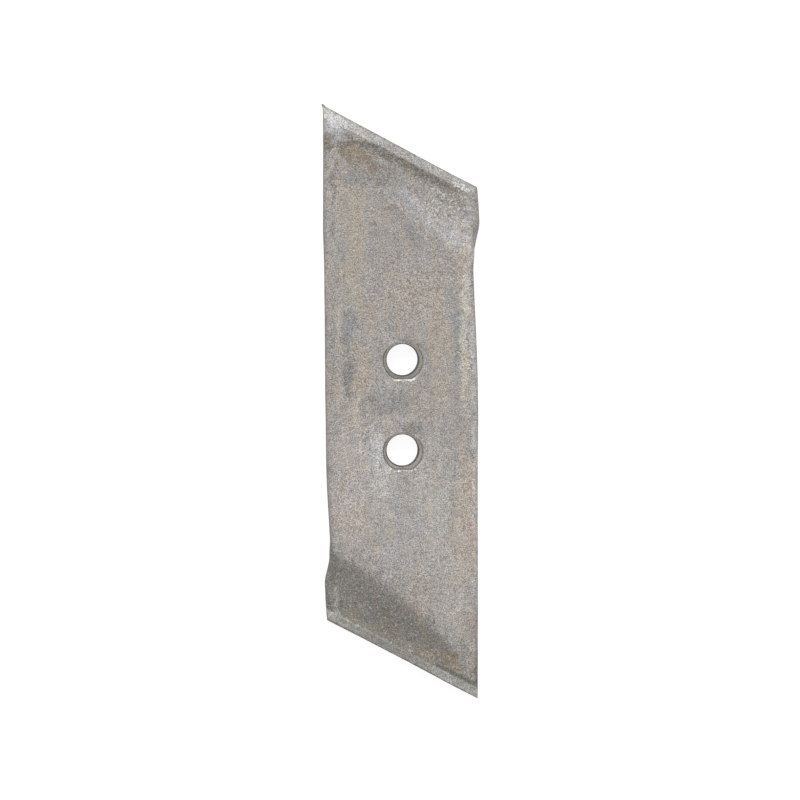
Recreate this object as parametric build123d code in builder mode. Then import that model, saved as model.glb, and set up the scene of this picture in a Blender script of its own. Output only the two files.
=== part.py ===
from build123d import *
from math import cos, radians, sin, tan
import os

# Reversible plough point: one hot-forged bar of boron steel.
# The bar lies on its flat back, the face that seats on the frog of the plough.
# X runs across the bar, Y along it and Z out of the front face, which the soil wears.
# The origin is on the back face, midway between the two bolt holes.

# Bar stock
overall_length = 295.4
bar_width = 76.0
bar_thickness = 12.0
rolled_edge_radius = 2.5
end_angle = 27.8

# The sides spread a little towards the sharp corners
tip_spread = 0.7
tip_straight = 66.0

# Waist that forging draws into the side next to each blunt corner
waist_depth = 2.2
waist_start = 12.0
waist_end = 66.0

# Rounded bead of metal squeezed out of the same side, lower than the front face
bead_width = 10.0
bead_above_trough = 0.9
bead_peak = 2.75
bead_at_corner = 1.5
bead_peak_distance = 19.9
bead_ramp = 17.0
bead_root = 0.6

# Hollow pressed into the front face behind each cutting edge
hollow_reach = 32.5
hollow_depth = 0.49 * bar_thickness
slope_share = 0.735
trough_distance = 9.5
trough_blend = 9.0
crest_distance = 4.2
crest_rise = 0.7
die_crown_radius = 560.0
die_apex_beyond_corner = 15.0
die_sweep = 40.0
hollow_lip_radius = 12.0

# Bevel between the crest of the rim and the cutting edge
edge_slope_down = 0.5

# Plain bevel where the hollow has run out, next to the sharp corner
bevel_width = 7.2
bevel_depth = 3.4

# Bolt holes, punched for conical heads with two flats
hole_spacing = 45.0
hole_diameter = 15.5
head_diameter = 20.4
head_across_flats = 18.7
hole_land = 4.0
mouth_flare = 0.3

# Burr that shearing left on the upper sharp corner
burr_thickness = 1.4
burr_reach = 1.4
burr_rise = 1.8
burr_root = 4.0

# How far the cutting tools run past the metal
clearance = 12.0

half_length = overall_length / 2
half_width = bar_width / 2
end_slope = tan(radians(end_angle))
tip_x = half_width + tip_spread
waist_x = half_width - waist_depth


def cutting_edge_y(x):
    """Y of the upper cutting edge at this X."""
    return half_length - (x + tip_x) * end_slope


def both_ends(shape):
    """The shape at the upper end, and again at the lower end, half a turn round."""
    return [shape, shape.rotate(Axis.Z, 180)]


sharp_corner = Vector(-tip_x, half_length)
blunt_corner = Vector(waist_x, cutting_edge_y(waist_x))

# Directions at the upper end: along its cutting edge to the sharp corner, and inward
along_edge = Vector(-cos(radians(end_angle)), sin(radians(end_angle)), 0)
inward = Vector(-sin(radians(end_angle)), -cos(radians(end_angle)), 0)
edge_length = (sharp_corner - blunt_corner).length

# Half of the outline: up the side from the lower sharp corner, then along the cutting edge
with BuildLine() as half_outline:
    side_start = Line((tip_x, -half_length), (tip_x, -half_length + tip_straight))
    side = Spline(
        side_start @ 1,
        (half_width, waist_start),
        (waist_x, waist_end),
        tangents=((0, 1), (0, 1), (0, 1)),
    )
    side_end = Line(side @ 1, blunt_corner)
    Line(blunt_corner, sharp_corner)

# Bead beside the upper blunt corner, swept past the cutting edge and trimmed to it
bead_height = bar_thickness - hollow_depth + bead_above_trough
bead_line = waist_x - bead_width / 2
bead_end = clearance / 2
bead_lean = (bead_peak - bead_at_corner) / bead_peak_distance
peak_y = blunt_corner.Y - bead_peak_distance
with BuildPart() as bead:
    with BuildLine():
        bead_curve = Spline(
            (bead_line - bead_root, peak_y - bead_ramp),
            (bead_line + bead_peak, peak_y),
            (bead_line + bead_at_corner - bead_lean * bead_end, blunt_corner.Y + bead_end),
            tangents=((0, 1), (0, 1), (-bead_lean, 1)),
        )
    with BuildSketch(Plane(bead_curve @ 0, x_dir=(1, 0, 0), z_dir=bead_curve % 0)):
        with Locations((0, -bead_height / 2)):
            Ellipse(bead_width / 2, bead_height / 2)
    sweep()
    split(bisect_by=Plane(blunt_corner, z_dir=inward), keep=Keep.TOP)

# Section across the upper cutting edge: distance inward from the edge, then height.
# It stands where the crown of the die is lowest, a little beyond the blunt corner.
crown_apex = blunt_corner - along_edge * die_apex_beyond_corner
crown_section = Plane(
    (crown_apex.X, crown_apex.Y, bar_thickness),
    x_dir=inward,
    z_dir=along_edge,
)
crown_axis = Axis(crown_section.origin + Vector(0, 0, die_crown_radius), inward)

# Die that presses the hollow: the long slope, the trough and the inside of the rim
crest_depth = hollow_depth - crest_rise
foot_distance = trough_distance + trough_blend
foot_depth = slope_share * hollow_depth
hollow_slope = foot_depth / (hollow_reach - foot_distance)
with BuildPart() as hollow_die:
    with BuildSketch(crown_section):
        with BuildLine():
            slope = Line((hollow_reach, 0), (foot_distance, -foot_depth))
            trough = Spline(
                slope @ 1,
                (trough_distance, -hollow_depth),
                (crest_distance, -crest_depth),
                tangents=((-1, -hollow_slope), (-1, 0), (-1, 0)),
            )
            Polyline(
                trough @ 1,
                (-clearance, -crest_depth),
                (-clearance, clearance),
                (hollow_reach + clearance, clearance),
                slope @ 0,
            )
        make_face()
    revolve(axis=crown_axis, revolution_arc=die_sweep)

# Die that draws the rim down to the cutting edge, with the same crown
with BuildPart() as edge_die:
    with BuildSketch(crown_section):
        Polygon(
            (crest_distance + clearance, -crest_depth + edge_slope_down * clearance),
            (-clearance, -crest_depth + edge_slope_down * clearance),
            (-clearance, -crest_depth - edge_slope_down * (crest_distance + clearance)),
            align=None,
        )
    revolve(axis=crown_axis, revolution_arc=die_sweep)

# Straight wedge that bevels the front face beside the sharp corner
with BuildPart() as bevel:
    with BuildSketch(crown_section):
        Polygon(
            (bevel_width + clearance, bevel_depth * clearance / bevel_width),
            (-clearance, bevel_depth * clearance / bevel_width),
            (-clearance, -bevel_depth * (bevel_width + clearance) / bevel_width),
            align=None,
        )
    extrude(amount=die_apex_beyond_corner + edge_length + clearance)

# Seat for one bolt: a plain land from the back, then a cone with two flats across the bar
with BuildPart() as bolt_seat:
    with BuildSketch(Plane.XZ):
        Polygon(
            (0, 0),
            (hole_diameter / 2, 0),
            (hole_diameter / 2, hole_land),
            (head_diameter / 2, bar_thickness - mouth_flare),
            (head_diameter / 2 + mouth_flare, bar_thickness),
            (0, bar_thickness),
            align=None,
        )
    revolve(axis=Axis.Z)
    with BuildSketch():
        Rectangle(head_diameter + 2 * mouth_flare, head_across_flats)
    extrude(amount=bar_thickness, mode=Mode.INTERSECT)

# Burr hooked outward from the upper sharp corner, level with the back
with BuildPart() as burr:
    with BuildSketch():
        with BuildLine():
            hook = Spline(
                (-tip_x, half_length - burr_root),
                (-tip_x - burr_reach, half_length + burr_rise),
                tangents=((0, 1), (-1, 1)),
            )
            Polyline(
                hook @ 1,
                (-tip_x + burr_root / 2, cutting_edge_y(-tip_x + burr_root / 2)),
                (-tip_x + burr_root, half_length - burr_root),
                hook @ 0,
            )
        make_face()
    extrude(amount=burr_thickness)

with BuildPart() as plough_point:
    with BuildSketch():
        add(both_ends(half_outline.line))
        make_face()
    extrude(amount=bar_thickness)

    # Hollows, with their lips softened before the long edges of the bar
    add(both_ends(hollow_die.part.rotate(crown_axis, -die_sweep / 2)), mode=Mode.SUBTRACT)
    front_edges = plough_point.edges().group_by(Axis.Z)[-1]
    fillet(front_edges.filter_by(GeomType.HYPERBOLA), hollow_lip_radius)
    side_edges = plough_point.edges().filter_by(
        lambda edge: abs(edge.center().X) > waist_x - rolled_edge_radius
    )
    levels = side_edges.group_by(Axis.Z)
    fillet(levels[0] + levels[-1], rolled_edge_radius)

    # Rims and bevels, cut through the beads as well
    add(both_ends(bead.part))
    add(both_ends(edge_die.part.rotate(crown_axis, -die_sweep / 2)), mode=Mode.SUBTRACT)
    add(both_ends(bevel.part), mode=Mode.SUBTRACT)

    # Bolt holes
    with Locations((0, hole_spacing / 2), (0, -hole_spacing / 2)):
        add(bolt_seat.part, mode=Mode.SUBTRACT)
    add(burr.part)

plough_point.part.label = "plough_point"
os.makedirs("parts", exist_ok=True)
export_step(plough_point.part, "parts/plough_point.step")
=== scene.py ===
"""Looks of the reversible plough point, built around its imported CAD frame."""

import math

import bpy
import mathutils
import numpy as np
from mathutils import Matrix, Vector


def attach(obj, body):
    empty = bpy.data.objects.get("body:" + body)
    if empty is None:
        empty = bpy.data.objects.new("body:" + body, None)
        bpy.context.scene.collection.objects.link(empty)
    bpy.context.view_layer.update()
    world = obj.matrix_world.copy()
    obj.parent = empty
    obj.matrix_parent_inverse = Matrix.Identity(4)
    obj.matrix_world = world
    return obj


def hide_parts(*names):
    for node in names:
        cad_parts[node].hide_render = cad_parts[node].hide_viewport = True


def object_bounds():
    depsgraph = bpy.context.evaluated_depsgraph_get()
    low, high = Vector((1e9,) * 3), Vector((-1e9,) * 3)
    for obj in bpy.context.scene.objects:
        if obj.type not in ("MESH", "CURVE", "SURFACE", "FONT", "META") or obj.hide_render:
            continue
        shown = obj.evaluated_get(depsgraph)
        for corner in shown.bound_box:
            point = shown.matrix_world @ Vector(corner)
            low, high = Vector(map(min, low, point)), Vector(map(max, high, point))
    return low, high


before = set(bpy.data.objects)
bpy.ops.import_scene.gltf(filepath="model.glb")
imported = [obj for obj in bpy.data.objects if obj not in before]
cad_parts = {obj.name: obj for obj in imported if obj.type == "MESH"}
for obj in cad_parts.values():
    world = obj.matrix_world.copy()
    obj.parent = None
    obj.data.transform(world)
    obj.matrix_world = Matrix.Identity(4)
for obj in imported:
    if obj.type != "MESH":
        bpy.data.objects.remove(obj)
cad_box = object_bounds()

MM = 0.001

# Shape of the photographed bar, in millimetres, in the CAD frame
NODE = "plough_point"
THICKNESS = 12.0
HOLE_Y = 22.5
END_ANGLE = math.radians(27.8)
END_CORNER = 127.3
GRID_DEPTH = 9
GRID_SHARE = 0.8
SEED = 41

# Outline of the bar, as Y and X of its left and its right side
LEFT_SIDE = (
    (-104, -37.9), (-98, -38.3), (-91, -38.55), (-87.5, -38.8), (-82.5, -37.65),
    (-77.5, -36.7), (-68, -36.05), (-48, -37.2), (-40, -37.65), (-28, -37.95), (-8, -38.15),
    (6, -38.4), (32, -38.55), (52, -38.7), (72, -38.95), (80, -39.2), (84, -39.39), (142, -39.39),
)
RIGHT_SIDE = (
    (-146, 37.35), (-98, 37.4), (-68, 37.32), (-28, 37.27), (-8, 37.43), (12, 37.3),
    (32, 36.65), (52, 35.65), (68, 35.0), (74, 35.5), (79, 36.5), (84.3, 37.45), (89.2, 38.45),
    (96.7, 38.15), (104, 37.6),
)

# How far each cutting edge lies above the CAD's, as X and the shift in Y
UPPER_EDGE = ((-38, 1.34), (-20, 1.0), (-5, 0.59), (10, 0.42), (25, 0.44), (37, 0.64))
LOWER_EDGE = ((-35, 0.55), (-20, 0.8), (0, 0.92), (10, 1.04), (17, 1.2), (29, 1.4), (37, 1.52))
UPPER_SHIFT = 0.54
LOWER_SHIFT = 0.95

# Stains and painted light of the front face: X, Y, half-length, half-width, turn, sRGB colour and strength
STAINS_AND_PAINTED_LIGHT = (
    # Broad tones of the face
    (-3.3, -45.0, 42.1, 25.8, -80, (175, 171, 168), 0.65),
    (1.2, 105.2, 22.8, 11.9, -30, (150, 147, 143), 0.6),
    (-8.2, 88.9, 19.8, 7.9, -90, (156, 152, 147), 0.6),
    (18.0, 31.9, 30.7, 5.9, -90, (172, 162, 150), 0.7),
    # Dark scale in the lower hollow
    (-3.8, -106.0, 19.8, 5.9, -33, (124, 121, 115), 0.5),
    (17.1, -122.8, 12.9, 4.5, -28, (132, 127, 118), 0.7),
    # Dark left edge of the lower hollow
    (-36.0, -87.1, 17.8, 1.5, -90, (122, 120, 116), 0.6),
    (26.5, -135.2, 8.9, 3.0, -28, (168, 164, 157), 0.6),
    (13.1, -100.0, 2.5, 0.4, -40, (100, 95, 90), 0.6),
    (14.8, -105.5, 4.0, 0.4, -97, (100, 95, 90), 0.6),
    # Bare metal at the upper sharp corner
    (-34.0, 141.4, 8.4, 6.4, -60, (184, 182, 183), 0.9),
    # Stains behind the upper rim
    (-15.7, 117.1, 14.9, 5.9, -30, (132, 128, 123), 0.65),
    (-36.0, 131.0, 4.5, 2.5, -90, (126, 118, 108), 0.85),
    (-28.6, 129.5, 4.5, 2.5, -20, (122, 113, 104), 0.9),
    (-33.0, 125.1, 5.0, 1.0, -95, (168, 155, 137), 0.7),
    (-27.6, 123.1, 5.0, 2.5, -60, (134, 122, 107), 0.85),
    (-21.6, 124.1, 5.5, 3.5, -40, (142, 128, 112), 0.8),
    (-34.0, 113.7, 10.9, 1.0, -90, (134, 126, 116), 0.6),
    (-31.5, 103.3, 9.9, 0.7, -92, (176, 166, 150), 0.6),
    (-17.7, 118.1, 4.5, 3.0, -60, (140, 127, 113), 0.75),
    (-26.1, 119.6, 2.5, 3.0, -90, (150, 140, 128), 0.6),
    (-15.7, 115.7, 2.5, 1.5, -20, (132, 122, 112), 0.7),
    (-25.6, 112.2, 5.9, 3.0, 0, (143, 142, 140), 0.8),
    (-6.2, 98.8, 3.0, 1.5, 0, (142, 129, 121), 0.6),
    # Painted light on the slope of the upper hollow, which faces the lamp, with a few darker patches
    (4.7, 99.8, 9.9, 3.5, -52, (166, 163, 164), 0.6),
    (17.6, 88.9, 9.4, 4.0, -35, (170, 167, 168), 0.65),
    (29.0, 82.9, 7.9, 4.5, -20, (174, 171, 172), 0.7),
    (6.1, 83.9, 8.9, 2.5, -50, (145, 142, 140), 0.7),
    (12.1, 86.9, 4.5, 2.5, -40, (146, 142, 139), 0.6),
    (24.0, 101.8, 4.5, 2.5, -30, (136, 133, 128), 0.5),
    # Speckled floor of the upper hollow
    (24.0, 99.3, 9.9, 5.9, -25, (142, 139, 134), 0.75),
    # Long streaks up the face
    (-23.6, 81.5, 26.8, 4.5, -90, (170, 162, 149), 0.6),
    (-24.6, 51.7, 11.9, 4.5, -90, (172, 164, 150), 0.6),
    (-35.3, 107.2, 9.9, 0.7, -90, (128, 120, 113), 0.55),
    (-33.8, 87.4, 5.0, 1.2, -90, (138, 130, 124), 0.7),
    (-27.1, 36.8, 12.9, 3.0, -90, (146, 144, 142), 0.85),
    (-26.6, 11.5, 11.4, 3.0, -90, (136, 133, 131), 0.9),
    (-32.0, 41.8, 11.9, 1.5, -90, (176, 172, 160), 0.7),
    (-21.1, 14.0, 12.9, 3.7, -90, (173, 162, 147), 0.8),
    (26.5, 27.9, 23.8, 2.2, -90, (152, 151, 151), 0.85),
    (26.0, -37.5, 15.9, 2.5, -90, (155, 153, 152), 0.7),
    (30.9, 36.8, 34.7, 2.2, -90, (194, 188, 178), 0.8),
    (35.9, 39.3, 44.6, 2.2, -90, (189, 184, 179), 0.75),
    (34.4, 98.3, 9.9, 3.5, -90, (174, 171, 168), 0.55),
    (35.9, 70.5, 7.9, 2.5, -90, (202, 198, 195), 0.7),
    (-35.5, 25.9, 21.8, 1.7, -90, (140, 137, 134), 0.6),
    (-23.6, 1.1, 6.9, 2.5, -90, (178, 172, 164), 0.7),
    (35.9, -47.5, 49.6, 1.7, -90, (194, 186, 180), 0.85),
    # Smudge below the upper hole, and a painted highlight on the lip just under its seat
    (-5.8, 0.6, 12.9, 4.5, 12, (146, 144, 142), 0.8),
    (-16.7, 3.1, 4.5, 2.5, 20, (142, 140, 139), 0.6),
    (-7.7, 10.6, 7.9, 2.0, -20, (172, 168, 165), 0.6),
    # Lighter lower half
    (-10.7, -28.6, 17.8, 4.5, -90, (192, 188, 185), 0.85),
    (-21.6, -32.6, 19.8, 5.0, -90, (184, 178, 172), 0.6),
    (-28.1, -41.0, 30.7, 6.9, -90, (180, 171, 165), 0.75),
    # Dark halos above the bolt seats
    (3.2, -32.6, 6.9, 4.0, 0, (164, 161, 157), 0.5),
    (5.2, -11.8, 6.9, 3.5, -20, (134, 131, 126), 0.75),
    (4.2, 30.4, 6.4, 2.5, -20, (138, 134, 129), 0.7),
    (-5.8, 31.4, 4.0, 3.0, 30, (176, 172, 170), 0.6),
    (17.1, -54.9, 24.8, 7.9, -90, (180, 176, 171), 0.7),
    (29.5, -57.4, 40.7, 4.0, -90, (184, 173, 159), 0.7),
    (33.4, -64.8, 7.4, 2.5, -90, (174, 161, 160), 0.6),
    (34.9, -109.4, 7.4, 2.0, -90, (160, 147, 146), 0.7),
    (25.0, -94.6, 22.8, 6.9, -90, (180, 174, 168), 0.7),
)

# Rust over the dark scale of the lower hollow, in the same way
RUST = (
    (-6.7, -114.4, 5.5, 2.5, -12, (125, 115, 103), 0.65),
    (-13.7, -110.9, 3.0, 2.0, -20, (124, 116, 106), 0.5),
    (11.1, -122.3, 5.5, 2.5, -25, (131, 120, 107), 0.7),
    (18.0, -124.8, 3.5, 2.0, -25, (140, 129, 115), 0.6),
    (25.0, -128.3, 5.9, 4.5, -30, (137, 125, 109), 0.7),
    (30.4, -130.8, 3.0, 2.5, -60, (144, 131, 116), 0.6),
    (17.6, -107.9, 2.0, 3.5, 0, (160, 152, 142), 0.5),
    (-35.5, -93.1, 3.5, 7.9, 6, (132, 130, 124), 0.5),
)


def linear(red, green, blue):
    """The colour of an sRGB triple of 0 to 255, as Blender's nodes take it."""
    out = []
    for value in (red, green, blue):
        c = value / 255
        out.append(c / 12.92 if c <= 0.04045 else ((c + 0.055) / 1.055) ** 2.4)
    return (*out, 1.0)


# Mesh

def smooth_step(low, high, value):
    t = np.clip((value - low) / (high - low), 0, 1)
    return t * t * (3 - 2 * t)


def ridge(value, middle, width):
    """1 at the middle, falling to 0 a width or two away."""
    return np.exp(-((value - middle) / width) ** 2)


def waves(points, wavelength, count, rng):
    """Smooth random height, about -1 to 1, with features near this wavelength."""
    total = np.zeros(len(points))
    for _ in range(count):
        direction = rng.normal(size=3)
        direction /= np.linalg.norm(direction)
        length = wavelength * rng.uniform(0.7, 1.5)
        total += np.cos(points @ direction * (2 * math.pi / length) + rng.uniform(0, 2 * math.pi))
    return total / math.sqrt(count)


def end_distance(x, y, end):
    """Distance in from the cutting edge of the upper (1) or lower (-1) end."""
    return (END_CORNER - end * y) * math.cos(END_ANGLE) - end * x * math.sin(END_ANGLE)


def remeshed(source, name):
    mesh = source.data.copy()
    piece = bpy.data.objects.new(name, mesh)
    bpy.context.scene.collection.objects.link(piece)
    weld = piece.modifiers.new("weld", "WELD")
    weld.merge_threshold = 0.00001
    grid = piece.modifiers.new("grid", "REMESH")
    grid.mode = "SHARP"
    grid.octree_depth = GRID_DEPTH
    grid.scale = GRID_SHARE
    ease = piece.modifiers.new("ease", "SMOOTH")
    ease.factor = 0.35
    ease.iterations = 1
    depsgraph = bpy.context.evaluated_depsgraph_get()
    final = bpy.data.meshes.new_from_object(piece.evaluated_get(depsgraph))
    piece.modifiers.clear()
    piece.data = final
    bpy.data.meshes.remove(mesh)
    return piece


def side_shift(x, y, side, table):
    """How far the mesh moves in X for this side of it to follow the table."""
    rows = np.arange(table[0][0], table[-1][0] + 0.1, 2.0)
    nearest = np.round((y - rows[0]) / 2.0).astype(int)
    reach = np.array([(side * x[nearest == k]).max() for k in range(len(rows))])
    target = np.interp(rows, *zip(*table))
    shift = np.convolve(np.pad(target - side * reach, 1, "edge"), (0.25, 0.5, 0.25), "valid")
    return np.interp(y, rows, shift) * smooth_step(0, 30, side * x)


def forge(piece):
    """Moves the mesh from the nominal bar to the bar in the photograph."""
    mesh = piece.data
    count = len(mesh.vertices)
    co = np.empty(count * 3)
    mesh.vertices.foreach_get("co", co)
    co = co.reshape(-1, 3) / MM
    normal = np.empty(count * 3)
    mesh.vertex_normals.foreach_get("vector", normal)
    normal = normal.reshape(-1, 3)
    x, y, z = co.T
    rng = np.random.default_rng(SEED)
    front = smooth_step(0.3, 0.85, normal[:, 2])

    # Inner step of the rims, crisper than the die's own shape
    hollow = smooth_step(11.6, 10.4, z) * front
    lift = np.zeros(count)
    for end in (1, -1):
        depth = end_distance(x, y, end)
        step = smooth_step(-30, -16, x) * smooth_step(40, 20, x) if end > 0 else 0.1 * smooth_step(24, 10, x)
        lift += step * hollow * (0.32 * ridge(depth, 4.0, 1.1) - 0.42 * ridge(depth, 7.3, 1.7))
        # The lower hollow runs out before the sharp corner
        if end < 0:
            lift += 0.45 * (THICKNESS - z) * ridge(depth, 7.5, 3.5) * smooth_step(12, 28, x) * hollow

    # Lip that goes on round the lower blunt corner
    in_from_end = end_distance(x, y, -1) - 3.8
    in_from_side = x + 38 - 6.0
    blend = 5.0
    field = np.minimum(in_from_end, in_from_side)
    field -= np.maximum(blend - np.abs(in_from_end - in_from_side), 0) ** 2 / (4 * blend)
    corner = smooth_step(-5, -22, x) * smooth_step(-82, -92, y) * front
    lift += corner * (0.22 * ridge(field, 0, 1.1) - 0.1 * ridge(field, 3.0, 1.5))
    co[:, 2] += lift

    # Outline
    dx = side_shift(x, y, 1, RIGHT_SIDE) + side_shift(x, y, -1, LEFT_SIDE)
    dy = np.interp(x, *zip(*UPPER_EDGE)) * smooth_step(45, 105, y)
    dy += np.interp(x, *zip(*LOWER_EDGE)) * smooth_step(45, 105, -y)
    # Sharp point of the burr, which the remesh wears down
    burr = smooth_step(145.8, 148.2, y) * smooth_step(-37.6, -39.0, x)
    dx -= 0.7 * burr
    dy += 0.9 * burr
    co[:, 0] += dx
    co[:, 1] += dy

    # Mouths of the bolt seats, a little closer than nominal
    for hole in (HOLE_Y, -HOLE_Y):
        ax, ay = co[:, 0], co[:, 1] - hole
        out = np.hypot(ax, ay)
        draw = smooth_step(4.2, 11.0, z) * smooth_step(15, 11, out)
        top = smooth_step(3, 7, ay)
        co[:, 1] -= draw * (0.38 * ay / out + 0.55 * top)
        co[:, 0] -= draw * 0.38 * ax / out

    # Rolled and forged steel is never quite flat
    height = 0.09 * waves(co, 46, 24, rng) + 0.05 * waves(co, 15, 40, rng)
    height += 0.035 * waves(co, 5.0, 60, rng) + 0.018 * waves(co, 2.6, 60, rng)
    height = np.minimum(height - 0.12, 0.0)
    height *= 0.35 + 0.65 * front
    co += normal * height[:, None]

    low, high = (np.array(corner) / MM for corner in cad_box)
    co = np.clip(co, low, high)

    mesh.vertices.foreach_set("co", (co * MM).ravel())
    mesh.update()
    mesh.shade_smooth()


bar = remeshed(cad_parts[NODE], "forged_bar")
forge(bar)


# Material

class Nodes:
    """Short calls that add nodes to one node tree and join them up."""

    def __init__(self, tree):
        self.tree = tree

    def new(self, kind, **inputs):
        node = self.tree.nodes.new(kind)
        for key, value in inputs.items():
            self.put(node.inputs[key.replace("_", " ")], value)
        return node

    def put(self, socket, value):
        if isinstance(value, bpy.types.NodeSocket):
            self.tree.links.new(value, socket)
        else:
            socket.default_value = value

    def math(self, operation, *values, clamp=False):
        node = self.tree.nodes.new("ShaderNodeMath")
        node.operation = operation
        node.use_clamp = clamp
        for socket, value in zip(node.inputs, values):
            self.put(socket, value)
        return node.outputs[0]

    def product(self, first, *others):
        for other in others:
            first = self.math("MULTIPLY", first, other)
        return first

    def vector(self, operation, *values, scale=None):
        node = self.tree.nodes.new("ShaderNodeVectorMath")
        node.operation = operation
        for socket, value in zip(node.inputs, values):
            self.put(socket, value)
        if scale is not None:
            self.put(node.inputs["Scale"], scale)
        return node.outputs["Value" if operation in ("LENGTH", "DOT_PRODUCT") else "Vector"]

    def split(self, vector):
        return self.new("ShaderNodeSeparateXYZ", Vector=vector).outputs[:3]

    def mix(self, factor, a, b, blend="MIX"):
        node = self.tree.nodes.new("ShaderNodeMix")
        node.data_type = "RGBA"
        node.blend_type = blend
        self.put(node.inputs[0], factor)
        self.put(node.inputs[6], a)
        self.put(node.inputs[7], b)
        return node.outputs[2]

    def ramp(self, value, low, high, start=0.0, end=1.0):
        node = self.tree.nodes.new("ShaderNodeMapRange")
        node.interpolation_type = "SMOOTHSTEP"
        self.put(node.inputs["Value"], value)
        self.put(node.inputs["From Min"], low)
        self.put(node.inputs["From Max"], high)
        self.put(node.inputs["To Min"], start)
        self.put(node.inputs["To Max"], end)
        return node.outputs[0]

    def noise(self, vector, size, detail=2.0, rough=0.5, output=0):
        node = self.tree.nodes.new("ShaderNodeTexNoise")
        self.put(node.inputs["Vector"], vector)
        self.put(node.inputs["Scale"], 1 / size)
        self.put(node.inputs["Detail"], detail)
        self.put(node.inputs["Roughness"], rough)
        return node.outputs[output]

    def shake(self, vector, size, reach, detail=2.0):
        """The vector, moved at random by about the reach, over distances of the size."""
        offset = self.vector("SUBTRACT", self.noise(vector, size, detail, output=1), (0.5, 0.5, 0.5))
        return self.vector("ADD", vector, self.vector("SCALE", offset, scale=reach))

    def blot(self, vector, broken, x, y, length, width, turn, strength=1.0):
        """The strength inside an ellipse with a soft edge, 0 well outside it."""
        # Products rather than a Mapping node, whose outputs pile up on the shader's small stack
        cos, sin = math.cos(math.radians(turn)), math.sin(math.radians(turn))
        arm = self.vector("SUBTRACT", vector, (x, y, 0))
        along = self.vector("DOT_PRODUCT", arm, (cos / length, sin / length, 0))
        across = self.vector("DOT_PRODUCT", arm, (-sin / width, cos / width, 0))
        reach = self.math("SQRT", self.math("MULTIPLY_ADD", across, across, self.product(along, along)))
        reach = self.math("ADD", reach, broken)
        return self.ramp(reach, 1.45, 0.55, 0.0, strength)

    def with_marks(self, color, marks, vector, broken):
        """The colour with a table's marks laid over it in turn."""
        for *place, tone, strength in marks:
            color = self.mix(self.blot(vector, broken, *place, strength), color, linear(*tone))
        return color


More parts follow.
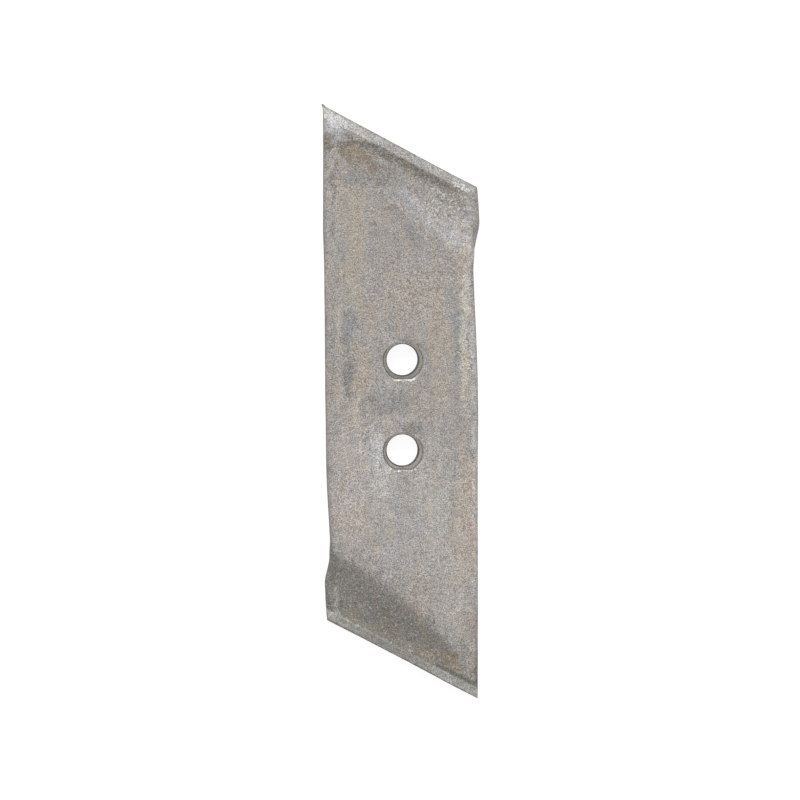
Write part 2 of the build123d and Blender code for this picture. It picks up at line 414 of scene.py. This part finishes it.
def steel():
    material = bpy.data.materials.new("forged_steel")
    material.use_nodes = True
    tree = material.node_tree
    tree.nodes.clear()
    n = Nodes(tree)
    place = n.new("ShaderNodeTexCoord")
    mm = n.vector("SCALE", place.outputs["Object"], scale=1 / MM)
    x, y, z = n.split(mm)
    upright = n.new("ShaderNodeNormal", Normal=place.outputs["Normal"])
    upright.outputs["Normal"].default_value = (0, 0, 1)
    facing = upright.outputs["Dot"]
    front = n.ramp(facing, 0.2, 0.6)
    ragged = n.shake(n.shake(mm, 9, 9, 3), 2.2, 3, 2)
    broken = n.math("MULTIPLY", n.math("SUBTRACT", n.noise(mm, 3.2, 4, 0.65), 0.5), 1.6)
    fine = n.noise(mm, 0.52, 1, 0.6)
    coarse = n.noise(mm, 1.3, 1, 0.6)

    # Bare forged steel, warmer and cooler in long patches
    tall = n.vector("MULTIPLY", mm, (1.0, 0.35, 1.0))
    color = n.mix(n.ramp(n.noise(tall, 13, 3, 0.6), 0.38, 0.62), linear(161, 157, 154), linear(167, 159, 152))
    bare = color
    color = n.with_marks(color, STAINS_AND_PAINTED_LIGHT, ragged, broken)

    # Dark scale left in the lower hollow
    cos, sin = math.cos(END_ANGLE), math.sin(END_ANGLE)
    grain = n.noise(mm, 3.5, 3, 0.6)
    level = n.math("ADD", z, n.math("MULTIPLY", n.math("SUBTRACT", grain, 0.5), 2.0))
    low = n.math("ADD", (END_CORNER - LOWER_SHIFT) * cos, n.math("ADD", n.math("MULTIPLY", y, cos), n.math("MULTIPLY", x, sin)))
    low = n.math("ADD", low, n.math("MULTIPLY", n.math("SUBTRACT", grain, 0.5), 6.0))
    far = n.math("ADD", low, n.math("MULTIPLY", x, 0.23))
    depth = n.math("ADD", n.ramp(far, 38, 18.5, 0, 0.68), n.ramp(low, 15, 9, 0, 0.28))
    scale = n.product(n.ramp(level, 12.3, 11.3), depth, n.ramp(y, -60, -70), front)
    color = n.mix(scale, color, linear(121, 118, 111))
    color = n.with_marks(color, RUST, ragged, broken)
    color = n.mix(front, bare, color)

    # Painted light on both rims, painted shade and dark scale in the groove behind the upper one, a painted
    # highlight on the lip round the lower blunt corner, and painted shade along the cutting edges
    slight = n.shake(mm, 2.5, 1.6, 3)
    sx, sy, sz = n.split(slight)
    upper = n.math("SUBTRACT", (END_CORNER + UPPER_SHIFT) * cos, n.math("ADD", n.math("MULTIPLY", sy, cos), n.math("MULTIPLY", sx, sin)))
    lower = n.math("ADD", (END_CORNER - LOWER_SHIFT) * cos, n.math("ADD", n.math("MULTIPLY", sy, cos), n.math("MULTIPLY", sx, sin)))
    patchy = n.ramp(n.noise(mm, 1.6, 2, 0.6), 0.38, 0.6, 1.0, 0.35)
    # Painted shade in the groove behind the upper rim, where its slope faces away from the lamp, partly dark scale
    # in patches
    groove_shade_and_scale = n.product(n.ramp(upper, 4.2, 5.2), n.ramp(upper, 10.8, 8.6), n.ramp(sx, -34, -26), n.ramp(sx, 34, 14, 0.25, 1), patchy, front)
    color = n.mix(groove_shade_and_scale, color, linear(122, 116, 108))
    # Painted light on the upper rim, which faces the lamp, lightest towards the sharp corner
    color = n.mix(n.product(n.ramp(upper, 5.2, 4.0), front, 0.8), color, n.mix(n.ramp(sx, -18, -34), linear(165, 163, 161), linear(192, 190, 190)))
    # Painted light on the lower rim's bevel, lifting the shade it gets from the lamp, lighter towards both ends
    color = n.mix(n.product(n.ramp(lower, 5.2, 4.0), front, 0.9), color, n.mix(n.ramp(n.math("ABSOLUTE", n.math("ADD", sx, 5)), 12, 24), linear(164, 162, 156), linear(188, 186, 180)))
    # Painted highlight on the raised lip round the lower blunt corner
    lip_highlight = n.math("SMOOTH_MIN", n.math("SUBTRACT", lower, 3.6), n.math("ADD", sx, 33.0), 6.0)
    lip_highlight = n.product(n.ramp(n.math("ABSOLUTE", lip_highlight), 1.7, 0.4), n.ramp(y, -86, -93), n.ramp(x, -14, -24), front, 0.75)
    color = n.mix(lip_highlight, color, linear(160, 157, 151))
    # Painted shade in a thin line along both cutting edges
    edge = n.math("MAXIMUM", n.ramp(upper, 0.9, 0.35, 0, 0.6), n.ramp(lower, 0.7, 0.2))
    color = n.mix(n.product(edge, 0.7), color, linear(104, 100, 94))

    # Painted shade on the sides and rolled edges, darker the further they turn from the front face
    color = n.mix(n.ramp(facing, 0.55, 0.15, 0.0, 0.75), color, linear(118, 113, 107))

    # Bolt seats: cone wall with painted light, painted shade on the mouth's edge, a dark ring at the land that is
    # painted shade with dark scale, and painted highlights on the lower lip and on an arc of the upper seat's wall
    for hole in (HOLE_Y, -HOLE_Y):
        arm = n.vector("MULTIPLY", n.vector("SUBTRACT", mm, (0, hole, 0)), (1, 1, 0))
        out = n.vector("LENGTH", arm)
        ax, ay, _ = n.split(arm)
        beyond = n.math("MAXIMUM", n.math("SUBTRACT", out, 9.85), n.math("SUBTRACT", n.math("ABSOLUTE", n.math("ADD", ay, 0.25)), 8.75))
        # Painted light on the cone wall, lighter towards its upper side, which the lamp leaves in shade
        low_wall = linear(154, 150, 142) if hole > 0 else linear(176, 172, 164)
        wall_with_painted_light = n.mix(n.ramp(ay, -8, 2), low_wall, linear(200, 195, 187))
        color = n.mix(n.product(n.ramp(beyond, 0.25, -0.1), 0.9), color, wall_with_painted_light)
        # Painted shade on the edge of the mouth, except at its top
        mouth_shade = n.product(n.ramp(beyond, -0.5, -0.15), n.ramp(beyond, 0.4, 0.1), n.ramp(ay, 8, 4), 0.8)
        color = n.mix(mouth_shade, color, linear(100, 96, 89))
        # Dark ring at the land: painted shade deep in the bore, with dark scale
        color = n.mix(n.product(n.ramp(out, 8.42, 8.22), 0.95), color, linear(72, 68, 62))
        if hole > 0:
            # Painted highlight on the seat's lower lip, speckled by the grain
            lip_highlight = n.product(n.ramp(beyond, 0.2, 0.5), n.ramp(beyond, 1.5, 0.9), n.ramp(ay, -7, -9), n.ramp(ax, -6, -4), n.ramp(ax, 8.0, 6.0))
            color = n.mix(n.product(lip_highlight, n.ramp(grain, 0.3, 0.5, 0.55, 0.95)), color, linear(222, 220, 216))
            # Painted highlight in a thin arc on the seat's upper right wall
            arc_highlight = n.product(n.ramp(out, 8.4, 8.5), n.ramp(out, 8.95, 8.75), n.ramp(ax, 3.5, 5), n.ramp(ay, 1, 3))
            color = n.mix(n.product(arc_highlight, 0.9), color, linear(240, 237, 231))
        else:
            # Painted highlight on the seat's lower lip, broken into specks
            speck_highlight = n.product(n.ramp(beyond, 0.3, 0.6), n.ramp(beyond, 1.7, 1.1), n.ramp(ay, -7, -9), n.ramp(coarse, 0.5, 0.6), 0.8)
            color = n.mix(speck_highlight, color, linear(226, 222, 216))

    # Mottling, streaks, fine grain and flecks
    mottle = n.ramp(n.noise(mm, 5, 3, 0.6), 0.3, 0.7, 0.93, 1.07)
    streak = n.ramp(n.noise(n.vector("MULTIPLY", mm, (1, 0.12, 1)), 2.2, 2, 0.5), 0.3, 0.7, 0.965, 1.035)
    speckle = n.product(n.ramp(fine, 0.25, 0.75, 0.5, 1.5), n.ramp(coarse, 0.3, 0.7, 0.92, 1.08))
    worm = n.math("ABSOLUTE", n.math("SUBTRACT", n.noise(n.shake(mm, 1.0, 0.8, 1), 1.7, 1, 0.5), 0.5))
    vein = n.math("ABSOLUTE", n.math("SUBTRACT", n.noise(n.shake(mm, 1.4, 0.9, 1), 2.1, 1, 0.5), 0.46))
    crust = n.product(n.ramp(worm, 0.0, 0.06, 0.84, 1.02), n.ramp(vein, 0.0, 0.05, 1.14, 0.99))
    shade = n.product(mottle, streak, speckle, crust)
    color = n.vector("SCALE", color, scale=shade)
    warmth = n.math("SUBTRACT", n.noise(tall, 4.5, 3, 0.6), 0.5)
    tint = n.vector("SCALE", (0.24, 0.03, -0.3), scale=warmth)
    color = n.vector("MULTIPLY", color, n.vector("ADD", tint, (1, 1, 1)))
    dense = n.math("MAXIMUM", n.blot(mm, broken, 29.0, 108.4, 4.5, 2.6, -25), n.product(n.blot(mm, broken, 22, 100, 15, 9, -25), 0.45))
    sparse = n.math("ADD", n.noise(mm, 1.0, 0), n.product(dense, 0.17))
    fleck = n.product(n.ramp(sparse, 0.68, 0.76), n.ramp(dense, 0, 1, 0.35, 0.9))
    color = n.mix(fleck, color, linear(222, 220, 217))
    pit = n.ramp(n.noise(mm, 1.25, 0), 0.33, 0.25)
    color = n.mix(n.product(pit, 0.22), color, linear(84, 78, 72))

    shader = n.new("ShaderNodeBsdfPrincipled")
    n.put(shader.inputs["Base Color"], color)
    shader.inputs["Metallic"].default_value = 0.3
    n.put(shader.inputs["Roughness"], n.ramp(n.noise(mm, 4, 3, 0.6), 0.3, 0.7, 0.5, 0.72))
    relief = n.math("ADD", fine, n.math("MULTIPLY", coarse, 1.5))
    relief = n.math("SUBTRACT", relief, pit)
    bump = n.new("ShaderNodeBump", Strength=0.3, Distance=0.0002, Height=relief)
    n.put(shader.inputs["Normal"], bump.outputs[0])
    out = n.new("ShaderNodeOutputMaterial")
    n.put(out.inputs["Surface"], shader.outputs[0])
    return material


bar.data.materials.clear()
bar.data.materials.append(steel())
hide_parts(NODE)
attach(bar, "root")


# Floor, light and camera

def stage():
    bpy.ops.mesh.primitive_plane_add(size=6.0, location=(0, 0, 0))
    floor = bpy.context.object
    floor.name = "floor"
    material = bpy.data.materials.new("floor_white")
    material.use_nodes = True
    tree = material.node_tree
    tree.nodes.clear()
    n = Nodes(tree)
    path = n.new("ShaderNodeLightPath")
    direct = n.math("MAXIMUM", path.outputs["Is Camera Ray"], path.outputs["Is Glossy Ray"])
    direct = n.math("MAXIMUM", direct, path.outputs["Is Transmission Ray"])
    glow = n.new("ShaderNodeEmission", Color=(1, 1, 1, 1))
    n.put(glow.inputs["Strength"], n.math("MULTIPLY", direct, 0.9))
    matt = n.new("ShaderNodeBsdfDiffuse", Color=(0.28, 0.28, 0.28, 1))
    both = n.new("ShaderNodeAddShader")
    n.put(both.inputs[0], matt.outputs[0])
    n.put(both.inputs[1], glow.outputs[0])
    out = n.new("ShaderNodeOutputMaterial")
    n.put(out.inputs["Surface"], both.outputs[0])
    floor.data.materials.append(material)

    world = bpy.data.worlds.new("studio")
    bpy.context.scene.world = world
    world.use_nodes = True
    tree = world.node_tree
    tree.nodes.clear()
    n = Nodes(tree)
    path = n.new("ShaderNodeLightPath")
    direct = n.math("MAXIMUM", path.outputs["Is Camera Ray"], path.outputs["Is Glossy Ray"])
    direct = n.math("MAXIMUM", direct, path.outputs["Is Transmission Ray"])
    strength = n.math("ADD", n.math("MULTIPLY", direct, 0.6), 0.4)
    back = n.new("ShaderNodeBackground", Color=(1, 1, 1, 1))
    n.put(back.inputs["Strength"], strength)
    out = n.new("ShaderNodeOutputWorld")
    n.put(out.inputs["Surface"], back.outputs[0])

    lamp = bpy.data.lights.new("key", "AREA")
    lamp.shape = "RECTANGLE"
    lamp.size = 3.6
    lamp.size_y = 2.4
    lamp.energy = 153
    key = bpy.data.objects.new("key", lamp)
    bpy.context.scene.collection.objects.link(key)
    key.location = (-0.45, 3.2, 3.2)
    key.rotation_euler = (-math.radians(45), 0, math.radians(8))


# How far the photograph was taken from above and from the left of straight on, in degrees
CAMERA_RISE = 3.3
CAMERA_LEFT = 2.7


def aim():
    data = bpy.data.cameras.new("camera")
    camera = bpy.data.objects.new("camera", data)
    bpy.context.scene.collection.objects.link(camera)
    distance = 4.0
    frame_width = 0.3966
    data.sensor_fit = "HORIZONTAL"
    data.sensor_width = 36
    data.lens = 36 * distance / frame_width
    data.clip_start = 0.1
    camera.rotation_euler = (math.radians(-CAMERA_RISE), math.radians(-CAMERA_LEFT), 0)
    target = mathutils.Vector((-1.56 * MM, 2.95 * MM, THICKNESS * MM))
    camera.location = target + camera.rotation_euler.to_matrix() @ mathutils.Vector((0, 0, distance))
    bpy.context.scene.camera = camera


stage()
aim()
bpy.context.scene.view_settings.view_transform = "Standard"
